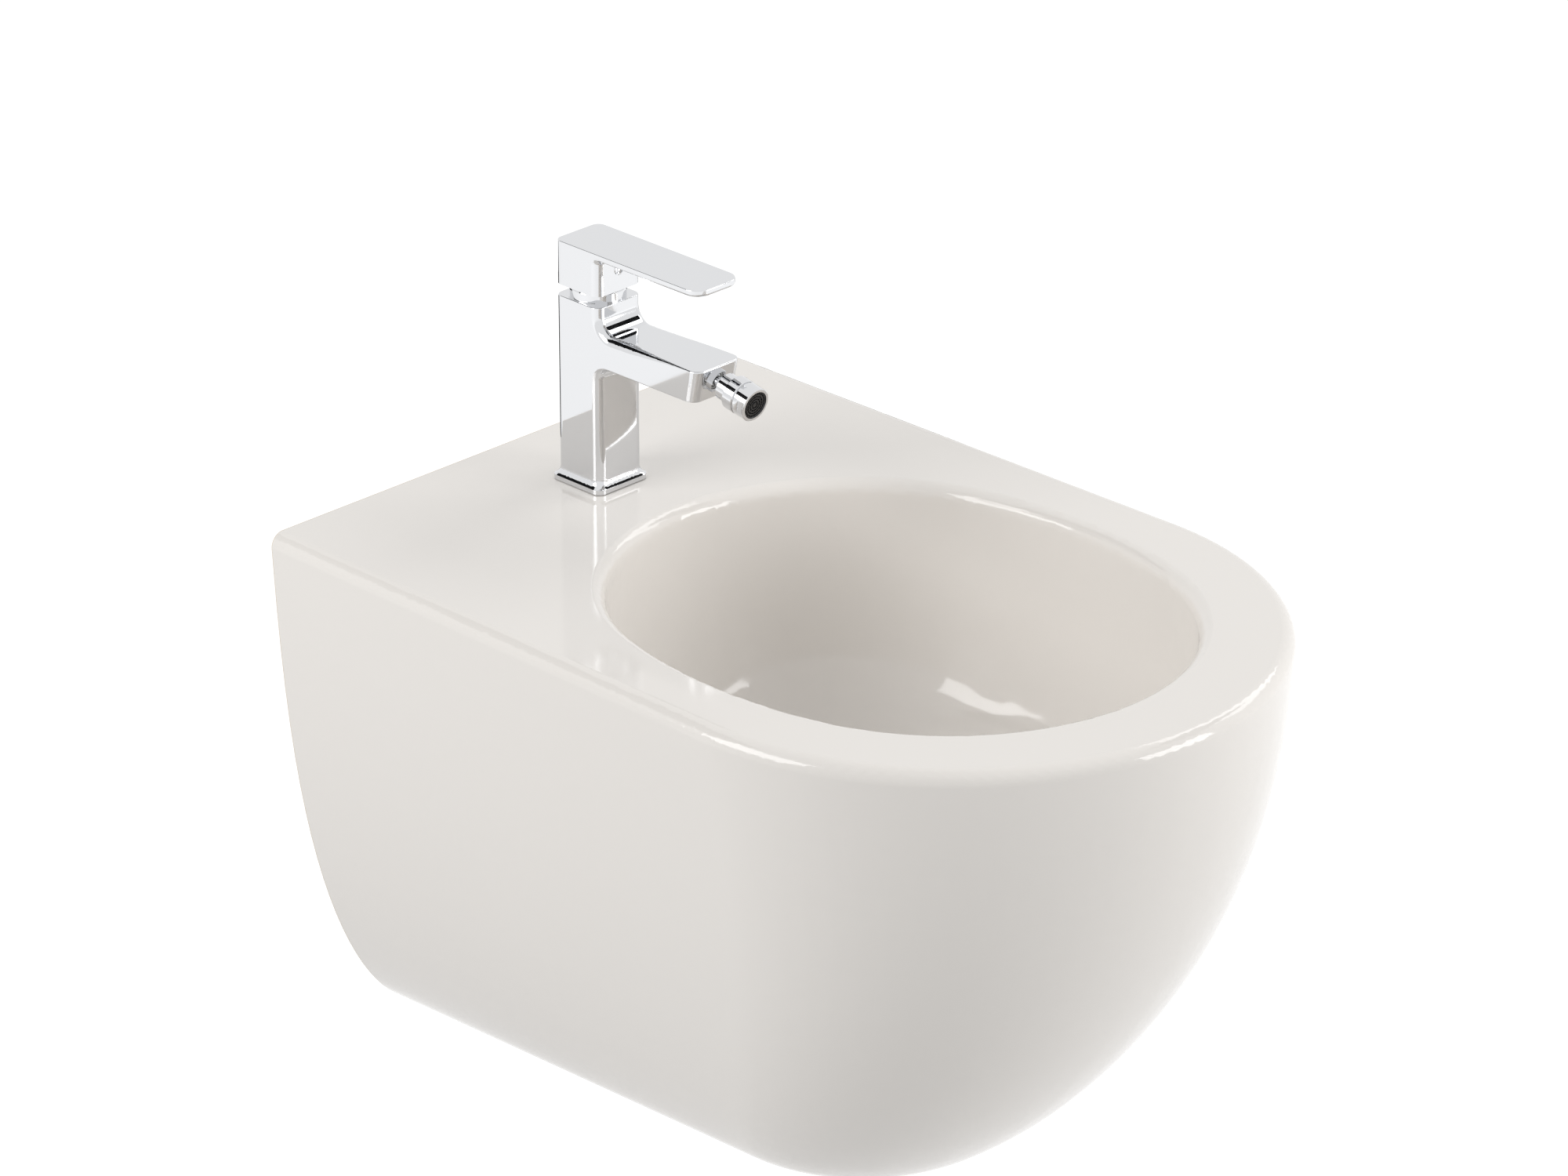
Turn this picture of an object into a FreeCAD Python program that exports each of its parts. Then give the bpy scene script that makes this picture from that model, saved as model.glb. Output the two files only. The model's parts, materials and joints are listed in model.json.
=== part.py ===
import FreeCAD, Part
import math
import os
import re
import Sketcher

# Wall-hung bidet: a double-walled vitreous china bowl on two wall studs, with a single-lever
# mixer tap on its deck and a click waste in its basin. Millimetres. The origin lies on the wall
# plane, midway between the two wall studs: +Z is up and the bowl reaches out along -Y.

SIZES = {
    # Outside of the bowl: plan at the rim, foot below, and how full the curves between them are
    "rear_width": 350.8,
    "projection": 510,
    "bowl_height": 315,
    "rim_above_fixings": 85,
    "front_swell": 1.026,
    "foot_swell": 0.907,
    "foot_width": 135.6,
    "foot_projection": 337,
    "side_draft": 0.057,
    "side_fullness": 2.69,
    "nose_fullness": 2.12,
    "nose_roundness": 1.2,
    "rim_round": 8,
    # Walls of the hollow casting
    "skin": 10,
    "deck_thickness": 14,
    "back_thickness": 15,
    "basin_wall": 9,
    # Basin: oval throat below the lip, coved floor falling to the drain
    "basin_width": 272,
    "basin_rear": 132,
    "basin_length": 327,
    "basin_bow": 4,
    "basin_depth": 140,
    "floor_fall": 6,
    "cove_fullness": 4.2,
    "lip_round": 8,
    "lip_clear": 1,
    # Drain hole with its recess and boss
    "drain_from_wall": 265,
    "drain_hole": 46,
    "recess_width": 66,
    "recess_depth": 6,
    "floor_margin": 6,
    "boss_width": 84,
    "boss_depth": 28,
    # Wall fixings and the opening that the pipes come through
    "fixing_spacing": 180,
    "fixing_hole": 20,
    "stud_hole": 13,
    "bush_flange": 32,
    "bush_flange_thickness": 3,
    "service_width": 190,
    "service_top": 40,
    "service_height": 130,
    "service_round": 30,
    # Tap column, foot and spout
    "tap_from_wall": 70,
    "tap_hole": 35,
    "column_width": 33,
    "column_round": 5,
    "column_height": 107.5,
    "plinth_width": 38,
    "plinth_height": 3,
    "flare_height": 5,
    "spout_length": 109,
    "spout_height": 18.6,
    "spout_rise": 74.6,
    "spout_tip_round": 6,
    "throat_round": 9,
    "edge_round": 0.8,
    "waterway": 9,
    # Underside of the tap and its fixing
    "gasket_width": 36,
    "gasket_thickness": 2,
    "gasket_proud": 0.5,
    "hose_well": 27,
    "hose_well_depth": 40,
    "inlet_hole": 9,
    "inlet_depth": 14,
    "inlet_spacing": 12,
    "inlet_set_back": 3.5,
    "port": 5.5,
    "stud_width": 8,
    "stud_forward": 8.5,
    "stud_depth": 14,
    "stud_below_deck": 42,
    "horseshoe_width": 50,
    "horseshoe_slot": 26,
    "horseshoe_web": 3,
    "horseshoe_gasket_thickness": 3,
    "horseshoe_plate_thickness": 2.5,
    "stud_nut_flats": 13,
    "stud_nut_height": 14,
    # Cartridge, measured down from the top of the column
    "spigot_depth": 2,
    "nut_height": 7.5,
    "nut_width": 28,
    "nut_bore": 19,
    "cartridge_width": 25.4,
    "cartridge_flange": 27.4,
    "cartridge_flange_thickness": 3.5,
    "cartridge_shell": 1.8,
    "lip_thickness": 2,
    "carrier_neck": 18.4,
    "carrier_flange": 21.2,
    "carrier_flange_thickness": 2.4,
    "carrier_neck_height": 11.3,
    "carrier_slot": 7.4,
    "carrier_slot_length": 14,
    "driver_thickness": 5,
    "disc_thickness": 4,
    "moving_disc_width": 17,
    "disc_set_back": 2.1,
    "fixed_disc_width": 21.4,
    "base_height": 4.7,
    "seal_width": 8.5,
    "seal_thickness": 1.8,
    "seal_proud": 0.3,
    "outlet_forward": 4.5,
    "disc_port": 4.5,
    # Lever on the cartridge
    "pivot_below_top": 4,
    "pivot_pin": 3,
    "pin_set_in": 1,
    "stem_width": 7,
    "stem_tip": 6,
    "stem_neck": 5,
    "stem_above_pivot": 30,
    "lever_gap": 6.5,
    "lever_height": 25,
    "lever_length": 109,
    "blade_thickness": 3.8,
    "blade_tip_round": 9,
    "blade_under_round": 1.6,
    "blade_root_round": 3,
    "shroud_width": 30.6,
    "shroud_ball": 35.4,
    "shroud_shell": 1.6,
    "shroud_hole": 20.4,
    "grub_width": 5,
    "grub_length": 8,
    "grub_socket": 2.5,
    "grub_socket_depth": 2.5,
    "cap_width": 8,
    "cap_depth": 2.5,
    "cap_rim": 1.2,
    "cap_proud": 0.4,
    "cap_dish": 1,
    "cap_above_block": 13,
    # Swivelling nozzle, measured out from the face of the spout
    "nozzle_droop": 11,
    "nipple_thread": 9.6,
    "nipple_thread_length": 8,
    "nipple_flange": 13.5,
    "nipple_flange_thickness": 2,
    "nipple_neck": 6,
    "ball": 10,
    "ball_from_face": 9,
    "ball_bore": 4.4,
    "seat_shell": 0.9,
    "seat_gap": 1,
    "seat_reach": 4.2,
    "ring_reach": 3,
    "collar_width": 15.3,
    "collar_length": 7,
    "collar_spigot": 13.6,
    "collar_spigot_length": 3,
    "nozzle_width": 19.3,
    "nozzle_length": 7,
    "nozzle_bore": 9,
    "groove_width": 17.5,
    "groove_length": 0.6,
    "aerator_width": 19,
    "aerator_length": 8.5,
    "aerator_flats": 17.6,
    "aerator_flat_length": 4,
    "aerator_flat_set_back": 1,
    "insert_width": 15.6,
    "insert_recess": 0.6,
    "insert_length": 5,
    "insert_shoulder": 1.2,
    "insert_rib": 0.8,
    "insert_rib_depth": 0.7,
    # Click waste, measured from the basin floor at the drain
    "flange_width": 63,
    "flange_proud": 1,
    "flange_edge": 2,
    "dish_width": 48,
    "dish_depth": 3,
    "dish_slope": 1,
    "waste_seal_thickness": 1.5,
    "tail_width": 41.9,
    "tail_length": 82,
    "tail_bore": 34,
    "tail_free": 33,
    "tail_relief": 2,
    "tail_relief_width": 39.5,
    "gasket_ring": 60,
    "gasket_ring_thickness": 5,
    "washer_thickness": 1.5,
    "ring_set_in": 1,
    "backnut_flats": 54,
    "backnut_height": 12,
    "bridge_level": 34,
    "bridge_height": 6,
    "bridge_width": 6,
    "hub_width": 19,
    "click_width": 14,
    "click_bore": 10,
    "click_length": 28,
    "click_top": 12,
    "click_end": 1.5,
    "plunger_width": 9.4,
    "plunger_length": 28,
    "plunger_bore": 2,
    "plug_width": 45,
    "plug_edge": 2,
    "plug_crown": 3,
    "plug_seal_width": 40,
    "plug_seal_thickness": 1.6,
    "spring_wire": 1,
    "spring_width": 7.6,
    "spring_turns": 4,
    # Clearances, small edges, and how far a cutter or a joined piece runs past the face it meets
    "slip": 0.3,
    "running": 0.05,
    "thread_gap": 0.2,
    "edge_break": 0.4,
    "corner_ease": 1,
    "overlap": 1,
}

doc = FreeCAD.newDocument("wall_hung_bidet")
sheet = doc.addObject("Spreadsheet::Sheet", "Sizes")
for row, (alias, size) in enumerate(SIZES.items(), 1):
    sheet.set(f"A{row}", alias)
    sheet.set(f"B{row}", str(size))
    sheet.setAlias(f"B{row}", alias)
doc.recompute()

ALIAS = re.compile(r"\b(" + "|".join(SIZES) + r")\b")
PARTS = []
NEAR = 0.01  # two lengths closer than this are the same
RIM = "rim_above_fixings"


def formula(text):
    """A sheet expression from a text that uses the sheet's names."""
    return ALIAS.sub(r"Sizes.\1", str(text))


def number(text):
    """The present value of such a text."""
    result = sheet.evalExpression(formula(text))
    return float(getattr(result, "Value", result))


def bind(item, path, text):
    item.setExpression(path, formula(text))


def place(item, base=("0", "0", "0"), tilt="0"):
    """Put an object at base, turned about +X by tilt, all bound to the sheet."""
    angle = number(tilt)
    item.Placement = FreeCAD.Placement(
        FreeCAD.Vector(*[number(text) for text in base]),
        FreeCAD.Rotation(FreeCAD.Vector(1, 0, 0), angle),
    )
    for axis, text in zip("xyz", base):
        if text != "0":
            bind(item, f"Placement.Base.{axis}", text)
    if tilt != "0":
        bind(item, "Placement.Rotation.Angle", tilt)


def body(label, base=("0", "0", "0"), tilt="0"):
    item = doc.addObject("PartDesign::Body", label)
    item.Label = label
    place(item, base, tilt)
    return item


def part(item, label):
    """Count an object as a finished sub-part."""
    item.Label = label
    PARTS.append(item)
    return item


def sketch_on(owner, role, lift="0"):
    """A sketch on one of its body's own origin planes, lifted along the plane's normal."""
    plane = [item for item in owner.Origin.OriginFeatures if item.Role == role][0]
    sketch = owner.newObject("Sketcher::SketchObject", "outline")
    sketch.AttachmentSupport = [(plane, "")]
    sketch.MapMode = "FlatFace"
    sketch.AttachmentOffset = FreeCAD.Placement(
        FreeCAD.Vector(0, 0, number(lift)), FreeCAD.Rotation()
    )
    if lift != "0":
        bind(sketch, "AttachmentOffset.Base.z", lift)
    return sketch


def pin_point(sketch, geometry, end, x, y):
    """Hold a point of the sketch at two distances from its origin."""
    for kind, text, axis in (("DistanceX", x, -2), ("DistanceY", y, -1)):
        if text == "0":
            sketch.addConstraint(Sketcher.Constraint("PointOnObject", geometry, end, axis))
            continue
        rule = Sketcher.Constraint(kind, -1, 1, geometry, end, number(text))
        bind(sketch, f"Constraints[{sketch.addConstraint(rule)}]", text)


def outline(sketch, corners, arcs=None):
    """A closed outline through corners given as (x, y) texts.

    arcs maps a corner's index to (radius, side): the stretch from that corner to the next is an
    arc, with its centre on the left of the way it runs when side is 1 and on the right when -1.
    """
    arcs = arcs or {}
    first = sketch.GeometryCount
    spots = [FreeCAD.Vector(number(x), number(y), 0) for x, y in corners]
    ends = []
    for index, start in enumerate(spots):
        finish = spots[(index + 1) % len(spots)]
        if index not in arcs:
            sketch.addGeometry(Part.LineSegment(start, finish))
            ends.append((1, 2))
            continue
        radius, side = number(arcs[index][0]), arcs[index][1]
        chord = finish - start
        across = FreeCAD.Vector(-chord.y, chord.x, 0).normalize()
        height = math.sqrt(max(radius ** 2 - chord.Length ** 2 / 4, 0))
        centre = (start + finish) * 0.5 + across * (side * height)
        ring = Part.Circle(centre, FreeCAD.Vector(0, 0, 1), radius)
        head, tail = (start, finish) if side > 0 else (finish, start)
        angles = [math.atan2(spot.y - centre.y, spot.x - centre.x) for spot in (head, tail)]
        sketch.addGeometry(Part.ArcOfCircle(ring, *angles))
        ends.append((1, 2) if side > 0 else (2, 1))
    for index in range(len(spots)):
        after = (index + 1) % len(spots)
        sketch.addConstraint(Sketcher.Constraint(
            "Coincident", first + index, ends[index][1], first + after, ends[after][0]
        ))
    for index, (x, y) in enumerate(corners):
        pin_point(sketch, first + index, ends[index][0], x, y)
    for index, (radius, side) in arcs.items():
        rule = Sketcher.Constraint("Radius", first + index, number(radius))
        bind(sketch, f"Constraints[{sketch.addConstraint(rule)}]", radius)


def circle(sketch, width, x="0", y="0"):
    """A circle of the given diameter."""
    spot = FreeCAD.Vector(number(x), number(y), 0)
    geometry = sketch.addGeometry(
        Part.Circle(spot, FreeCAD.Vector(0, 0, 1), number(width) / 2)
    )
    pin_point(sketch, geometry, 3, x, y)
    rule = Sketcher.Constraint("Diameter", geometry, number(width))
    bind(sketch, f"Constraints[{sketch.addConstraint(rule)}]", width)


def rounded_square(sketch, half_x, half_y, radius, y="0"):
    """A rectangle centred on (0, y) with equal round corners."""
    inner_x, inner_y = f"({half_x} - {radius})", f"({half_y} - {radius})"
    corners = [
        (inner_x, f"{y} - {half_y}"), (half_x, f"{y} - {inner_y}"),
        (half_x, f"{y} + {inner_y}"), (inner_x, f"{y} + {half_y}"),
        (f"-{inner_x}", f"{y} + {half_y}"), (f"-{half_x}", f"{y} + {inner_y}"),
        (f"-{half_x}", f"{y} - {inner_y}"), (f"-{inner_x}", f"{y} - {half_y}"),
    ]
    outline(sketch, corners, {index: (radius, 1) for index in (0, 2, 4, 6)})


def hexagon(sketch, flats):
    corner = f"{flats} / sqrt(3)"
    half = f"{flats} / 2"
    outline(sketch, [
        (corner, "0"), (f"{corner} / 2", half), (f"-{corner} / 2", half),
        (f"-{corner}", "0"), (f"-{corner} / 2", f"-{half}"), (f"{corner} / 2", f"-{half}"),
    ])


def pad(owner, sketch, length, symmetric=False, cut=False, reverse=False):
    """Grow the sketch into a solid, or cut it out of the body."""
    kind = "Pocket" if cut else "Pad"
    feature = owner.newObject(f"PartDesign::{kind}", kind.lower())
    feature.Profile = sketch
    feature.Length = number(length)
    bind(feature, "Length", length)
    feature.Midplane = symmetric
    feature.Reversed = reverse
    return feature


def bore(owner, role, width, lift, length, x="0", y="0", symmetric=False, reverse=False):
    """A round hole cut from one of the body's planes."""
    sketch = sketch_on(owner, role, lift)
    circle(sketch, width, x, y)
    return pad(owner, sketch, length, symmetric, cut=True, reverse=reverse)


def post(owner, width, low, height, x="0", y="0"):
    """A round post that stands on a level of the body."""
    sketch = sketch_on(owner, "XY_Plane", low)
    circle(sketch, width, x, y)
    return pad(owner, sketch, height)


def turn(owner, corners, arcs=None):
    """Revolve an outline of (radius, height) texts about the body's Z axis."""
    sketch = sketch_on(owner, "XZ_Plane")
    outline(sketch, corners, arcs)
    feature = owner.newObject("PartDesign::Revolution", "turn")
    feature.Profile = sketch
    feature.ReferenceAxis = (sketch, ["V_Axis"])
    feature.Angle = 360
    return feature


def chamfer_corners(owner, flats, height):
    """Take the corners off both ends of a hexagon, as a nut is turned down to its flats."""
    flat, corner = f"({flats} / 2)", f"({flats} / sqrt(3))"
    drop = f"(({corner} - {flat}) * tan(30 deg))"
    for end, inward in (("0", "+"), (height, "-")):
        sketch = sketch_on(owner, "XZ_Plane")
        outline(sketch, [
            (flat, end), (f"{corner} + overlap", end),
            (f"{corner} + overlap", f"{end} {inward} ({drop} + overlap * tan(30 deg))"),
        ])
        groove = owner.newObject("PartDesign::Groove", "chamfer")
        groove.Profile = sketch
        groove.ReferenceAxis = (sketch, ["V_Axis"])
        groove.Angle = 360


def hex_nut(label, base, flats, hole, height):
    """A nut with turned-down corners."""
    nut = body(label, base)
    sketch = sketch_on(nut, "XY_Plane")
    hexagon(sketch, flats)
    circle(sketch, hole)
    pad(nut, sketch, height)
    chamfer_corners(nut, flats, height)
    return part(nut, label)


def turned(label, base, corners, arcs=None, tilt="0"):
    """A sub-part that is one turned piece."""
    item = body(label, base, tilt)
    turn(item, corners, arcs)
    return part(item, label)


def ring(label, base, inner, outer, low, high, tilt="0"):
    """A plain ring between two diameters and two heights."""
    near, far = f"({inner}) / 2", f"({outer}) / 2"
    return turned(label, base, [(near, low), (far, low), (far, high), (near, high)], None, tilt)


def mirrored_pair(label, source):
    """A sub-part of two solids: the source and its mirror image across the middle plane."""
    twin = doc.addObject("Part::Mirroring", f"{label}_twin")
    twin.Source = source
    twin.Normal = FreeCAD.Vector(1, 0, 0)
    both = doc.addObject("Part::Compound", label)
    both.Links = [source, twin]
    return part(both, label)


def spots_along(edge):
    """Start, middle and end of an edge."""
    first, last = edge.FirstParameter, edge.LastParameter
    return [edge.valueAt(spot) for spot in (first, (first + last) / 2, last)]


def on_sphere(radius, along):
    """Distance across from a sphere's centre to its surface, at a distance along from the centre."""
    return f"sqrt(({radius}) ^ 2 - ({along}) ^ 2)"


def chosen_edges(shape, wanted):
    """Numbers of the edges whose start, middle and end all satisfy wanted."""
    return [
        index for index, edge in enumerate(shape.Edges, 1)
        if all(wanted(spot) for spot in spots_along(edge))
    ]


def fillet(owner, feature, radius, wanted):
    """Round chosen edges of a body's feature."""
    doc.recompute()
    rounding = owner.newObject("PartDesign::Fillet", "rounding")
    rounding.Base = (feature, [f"Edge{index}" for index in chosen_edges(feature.Shape, wanted)])
    rounding.Radius = number(radius)
    bind(rounding, "Radius", radius)
    return rounding


def rounded(label, source, radius, wanted):
    """Round chosen edges of a whole object."""
    doc.recompute()
    size = number(radius)
    rounding = doc.addObject("Part::Fillet", label)
    rounding.Base = source
    rounding.Edges = [(index, size, size) for index in chosen_edges(source.Shape, wanted)]
    return rounding


def combine(kind, label, base, tool):
    """Cut the tool from the base, or fuse the two."""
    result = doc.addObject(f"Part::{kind}", label)
    result.Base = base
    result.Tool = tool
    return result


# Outside of the bowl: level sections down a smooth fall from rim to foot

def eased(share, top, foot, draft, fullness, roundness):
    """A half-width that starts at top, leans in by draft and rounds off to foot at share 1."""
    drop = f"({draft} * bowl_height)"
    rounded = f"(1 - abs(1 - {share} ^ {fullness}) ^ (1 / {roundness}))"
    return f"({top} - {drop} * {share} - ({top} - {drop} - {foot}) * {rounded})"


def bowl_section(owner, share, depth, inset, rear):
    """Plan of the bowl at a share of its height: straight sides and a round front."""
    half = eased(share, "rear_width / 2", "foot_width / 2", "side_draft", "side_fullness", "2")
    reach = eased(share, "projection", "foot_projection", "0", "nose_fullness", "nose_roundness")
    swell = f"(front_swell + (foot_swell - front_swell) * {share})"
    sketch = sketch_on(owner, "XY_Plane", f"{RIM} - {depth}")
    radius = f"({half} * {swell} - {inset})"
    centre = f"({reach} - {inset} - {radius})"
    corner = f"({half} - {inset})"
    lean = f"(atan({centre} / {corner}) - acos({radius} / sqrt({centre} ^ 2 + {corner} ^ 2)))"
    tangent_x, tangent_y = f"{radius} * cos({lean})", f"{radius} * sin({lean}) - {centre}"
    back_x = f"({corner} + ({tangent_x} - {corner}) * {rear} / ({tangent_y}))"
    outline(
        sketch,
        [
            (f"-{back_x}", rear), (f"-{tangent_x}", tangent_y), ("0", f"{inset} - {reach}"),
            (tangent_x, tangent_y), (back_x, rear),
        ],
        {1: (radius, 1), 2: (radius, 1)},
    )
    return sketch


def loft(owner, sections, cut=False):
    kind = "SubtractiveLoft" if cut else "AdditiveLoft"
    feature = owner.newObject(f"PartDesign::{kind}", "loft")
    feature.Profile = sections[0]
    feature.Sections = sections[1:]
    feature.Ruled = False
    return feature


def oval(sketch, half_width, half_length, bow, centre):
    """An oval of four tangent arcs: round ends, and sides that bow out a little."""
    end = f"({half_width} - {bow})"
    side = f"((({half_length} - {half_width}) ^ 2 + 2 * {half_length} * {bow}) / (2 * {bow}))"
    x = f"({end} * ({side} - {half_width}) / ({side} - {end}))"
    y = f"(({half_length} - {end}) * (1 + {end} / ({side} - {end})))"
    outline(
        sketch,
        [(x, f"{centre} - {y}"), (x, f"{centre} + {y}"),
         (f"-{x}", f"{centre} + {y}"), (f"-{x}", f"{centre} - {y}")],
        {0: (side, 1), 1: (end, 1), 2: (side, 1), 3: (end, 1)},
    )


DRAIN_LEVEL = f"({RIM} - basin_depth - floor_fall)"
BASIN_CENTRE = "(basin_rear + basin_length / 2)"
DRAIN_HALF = "(recess_width / 2 + floor_margin)"
FALL_ANGLES = range(0, 91, 5)
COVE_STATIONS = 16
LIP_ANGLES = (80, 70, 60, 50, 40, 30, 20, 10)


def basin_oval(owner, level, size, spread):
    """Plan of the basin at a level: the throat's oval shrunk towards the drain, then spread."""
    sketch = sketch_on(owner, "XY_Plane", level)
    oval(
        sketch,
        f"(basin_width / 2 * {size} + {spread})",
        f"(basin_length / 2 * {size} + {spread})",
        f"(basin_bow * {size})",
        f"-(drain_from_wall + ({BASIN_CENTRE} - drain_from_wall) * {size})",
    )
    return sketch


def lip_sections(owner):
    """Ovals that narrow round the lip's quarter circle, from just above the deck to the throat."""
    slope = f"tan({LIP_ANGLES[0]} deg)"
    rise = f"(lip_round * (1 - sin({LIP_ANGLES[0]} deg)) + lip_clear)"
    spread = f"lip_round * (1 - cos({LIP_ANGLES[0]} deg)) + {rise} * {slope}"
    sections = [basin_oval(owner, f"{RIM} + lip_clear", "1", f"({spread})")]
    for angle in LIP_ANGLES:
        level = f"{RIM} - lip_round * (1 - sin({angle} deg))"
        sections.append(basin_oval(owner, level, "1", f"lip_round * (1 - cos({angle} deg))"))
    return sections


def cove_sections(owner, wall, start):
    """Ovals that shrink down a coved fall, from the throat to the flat round the drain."""
    sections = [basin_oval(owner, f"{RIM} - {start}", "1", wall)]
    for station in range(1, COVE_STATIONS):
        angle = 90 * (station / COVE_STATIONS) ** 3
        size = f"(cos({angle:.4f} deg) ^ (2 / cove_fullness))"
        fall = f"sin({angle:.4f} deg) ^ (2 / cove_fullness)"
        depth = f"((basin_depth + {wall}) * {fall} + floor_fall * (1 - {size}))"
        if number(depth) > number(start) + NEAR:
            sections.append(basin_oval(owner, f"{RIM} - {depth}", size, wall))
    size = f"({DRAIN_HALF} / (basin_width / 2))"
    return sections + [basin_oval(owner, f"{DRAIN_LEVEL} - {wall}", size, wall)]


def make_bowl():
    """The hollow casting: outer form, void open at the back, basin hung inside, then its holes."""
    stations = [math.sin(math.radians(angle)) for angle in FALL_ANGLES]
    form = body("bowl_form")
    loft(form, [
        bowl_section(form, f"{share:.4f}", f"bowl_height * {share:.4f}", "0", "back_thickness")
        for share in stations
    ])
    top, trim = number(RIM), number("back_thickness")
    casting = rounded("bowl_rounded", form, "rim_round", lambda spot: abs(spot.z - top) < NEAR
                      and (spot.y < trim - NEAR or abs(spot.x) > trim))

    # The void follows the outside, one skin in from the sides and the foot
    void = body("bowl_void")
    deck = "(deck_thickness / (bowl_height - skin))"
    shares = [f"({deck} + (1 - {deck}) * {share:.4f})" for share in stations]
    loft(void, [
        bowl_section(void, share, f"(bowl_height - skin) * {share}", "skin", "-back_thickness")
        for share in shares
    ])
    casting = combine("Cut", "bowl_shell", casting, void)

    # The basin hangs in the void, with a boss round the drain
    basin = body("basin_outside")
    loft(basin, cove_sections(basin, "basin_wall", "deck_thickness / 2"))
    post(basin, "boss_width", f"{DRAIN_LEVEL} - boss_depth", "boss_depth + recess_depth",
         "0", "-drain_from_wall")
    casting = combine("Fuse", "bowl_basin", casting, basin)
    inside = body("basin_inside")
    loft(inside, lip_sections(inside) + cove_sections(inside, "0", "lip_round"))
    casting = combine("Cut", "bowl_open", casting, inside)

    # Holes for the drain, the tap and the wall studs; the back is trimmed flat
    holes = body("bowl_holes")
    holes.AllowCompound = True
    back = sketch_on(holes, "XZ_Plane", "-2 * back_thickness")
    rounded_square(back, "rear_width", "bowl_height", "skin")
    pad(holes, back, "2 * back_thickness")
    for low, height, width, from_wall in (
        (f"{DRAIN_LEVEL} - recess_depth", "recess_depth + floor_fall", "recess_width", "drain_from_wall"),
        (f"{DRAIN_LEVEL} - 2 * boss_depth", "2 * boss_depth", "drain_hole", "drain_from_wall"),
        (f"{RIM} - 2 * deck_thickness", "4 * deck_thickness", "tap_hole", "tap_from_wall"),
    ):
        post(holes, width, low, height, "0", f"-{from_wall}")
    studs = sketch_on(holes, "XZ_Plane")
    for side in ("", "-"):
        circle(studs, "fixing_hole", f"{side}fixing_spacing / 2", "0")
    pad(holes, studs, "2 * back_thickness")

    # Way in for the pipes and the fitter's hand through the back
    service = sketch_on(holes, "XZ_Plane")
    rounded_square(service, "(service_width / 2)", "(service_height / 2)", "service_round",
                   "-(service_top + service_height / 2)")
    pad(holes, service, "2 * back_thickness")
    return part(combine("Cut", "ceramic_bowl", casting, holes), "ceramic_bowl")


def make_bushes():
    """Sleeves that line the wall fixing holes, with a flange inside the bowl."""
    sleeve, hole, flange = "(fixing_hole / 2 - slip)", "stud_hole / 2", "bush_flange / 2"
    end = "(back_thickness + bush_flange_thickness)"
    bush = body("bush", ("fixing_spacing / 2", "0", "0"), "90")
    turn(bush, [(hole, "0"), (sleeve, "0"), (sleeve, "back_thickness"),
                (flange, "back_thickness"), (flange, end), (hole, end)])
    return mirrored_pair("fixing_bushes", bush)


# Tap: every piece is drawn about the column's axis, upwards from the deck

TAP = ("0", "-tap_from_wall", RIM)
HALF = "(column_width / 2)"
SPOUT_TOP = "(spout_rise + spout_height)"
SPOUT_MIDDLE = "(spout_rise + spout_height / 2)"
SPOUT_REACH = f"(spout_length - {HALF})"
UNDERCUT = "(spout_height * tan(nozzle_droop * 1 deg))"
SPOUT_FACE = f"({UNDERCUT} / 2 - {SPOUT_REACH})"
DROOP = "90 + nozzle_droop"
CARTRIDGE_TOP = "(column_height - nut_height - spigot_depth)"
STEP = f"({CARTRIDGE_TOP} - cartridge_flange_thickness)"
LIP = f"({CARTRIDGE_TOP} - lip_thickness)"
CARRIER = f"({LIP} - slip - carrier_flange_thickness)"
DRIVER = f"({CARRIER} - slip - driver_thickness)"
MOVING = f"({DRIVER} - disc_thickness)"
FIXED = f"({MOVING} - running - disc_thickness)"
BASE = f"({FIXED} - base_height)"
SEAT = f"({BASE} - seal_proud)"
PIVOT = "(column_height - pivot_below_top)"
TIP = f"({DRIVER} + slip + stem_tip / 2)"
BLOCK = "(column_height + lever_gap)"
LEVER_TOP = f"({BLOCK} + lever_height)"
CAP_LEVEL = f"({BLOCK} + cap_above_block)"
INLETS = [("inlet_spacing / 2", "inlet_set_back"), ("-inlet_spacing / 2", "inlet_set_back")]
OUTLET = ("0", "-outlet_forward")
FLARE = ((0, 1), (0.3, 0.4), (0.65, 0.1), (1, 0))  # shares of the foot's rise and of its spread


def fade_edges(label, source, corner, arm):
    """Round the long edges of a casting made from one side profile, except those at its top.

    Its upright corners get the full corner radius, which fades round each inside bend to the
    small radius of the arm that grows from it. An arm's rounding is one chain that runs from one
    side round the tip to the other, so the fade runs the other way on the other side.
    """
    doc.recompute()
    full, crisp, half = number(corner), number(arm), number(HALF)
    top = max(vertex.Z for vertex in source.Shape.Vertexes)
    edges = []
    for index, edge in enumerate(source.Shape.Edges, 1):
        first, middle, last = spots_along(edge)
        if abs(abs(middle.x) - half) > NEAR or middle.z > top - NEAR:
            continue
        if abs(first.y - last.y) < NEAR:
            if abs(abs(middle.y) - half) < NEAR:
                edges.append((index, full, full))
        elif isinstance(edge.Curve, Part.Circle):
            edges.append((index, full, crisp) if middle.x > 0 else (index, crisp, full))
        elif abs(first.z - last.z) < NEAR and min(first.y, last.y) < -half - NEAR:
            edges.append((index, crisp, crisp))
    rounding = doc.addObject("Part::Fillet", label)
    rounding.Base = source
    rounding.Edges = edges
    return rounding


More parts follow.
